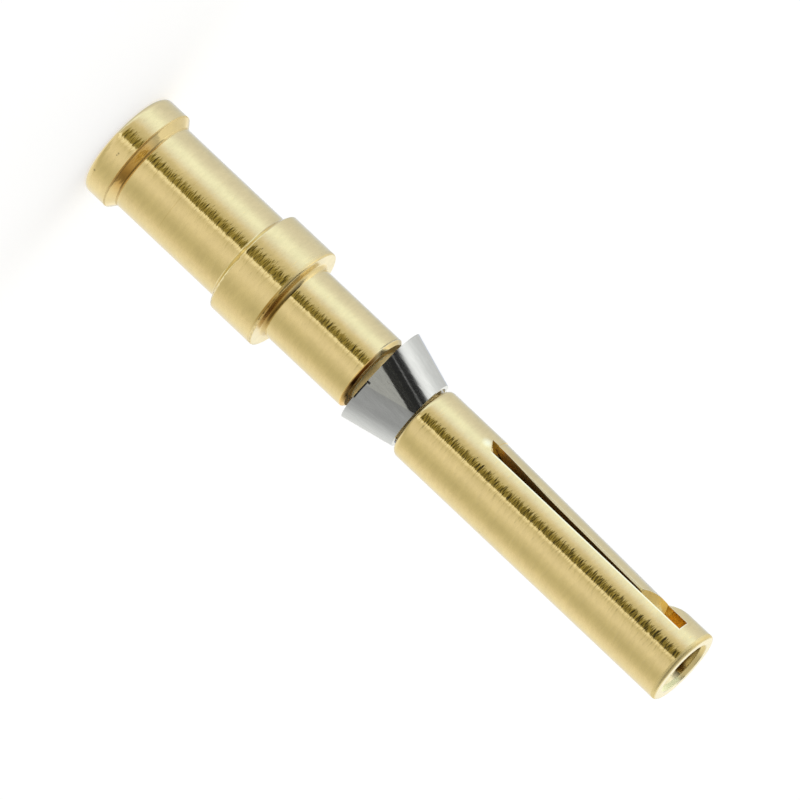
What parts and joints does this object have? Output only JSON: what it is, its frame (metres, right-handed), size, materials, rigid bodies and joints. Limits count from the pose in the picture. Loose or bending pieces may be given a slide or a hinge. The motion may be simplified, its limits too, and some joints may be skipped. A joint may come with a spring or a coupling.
{
  "type": "crimp socket contact",
  "caption": "Turned gold-plated crimp socket contact: flanged crimp barrel, collar, neck with a loose steel retention clip, and a sleeve with a sprung tongue.",
  "frame": {"origin": "centre of the rear face of the crimp barrel, on which the contact stands", "axes": "+Z along the axis from the crimp end to the mating end, -X towards the crown of the tongue"},
  "size_m": [0.0036, 0.0036, 0.0231],
  "materials": {
    "gold": "polished, gold plated",
    "clip_steel": "rolled sheet, bright"
  },
  "bodies": {
    "root": {"contact_body": "gold", "retention_clip": "clip_steel"}
  },
  "joints": []
}
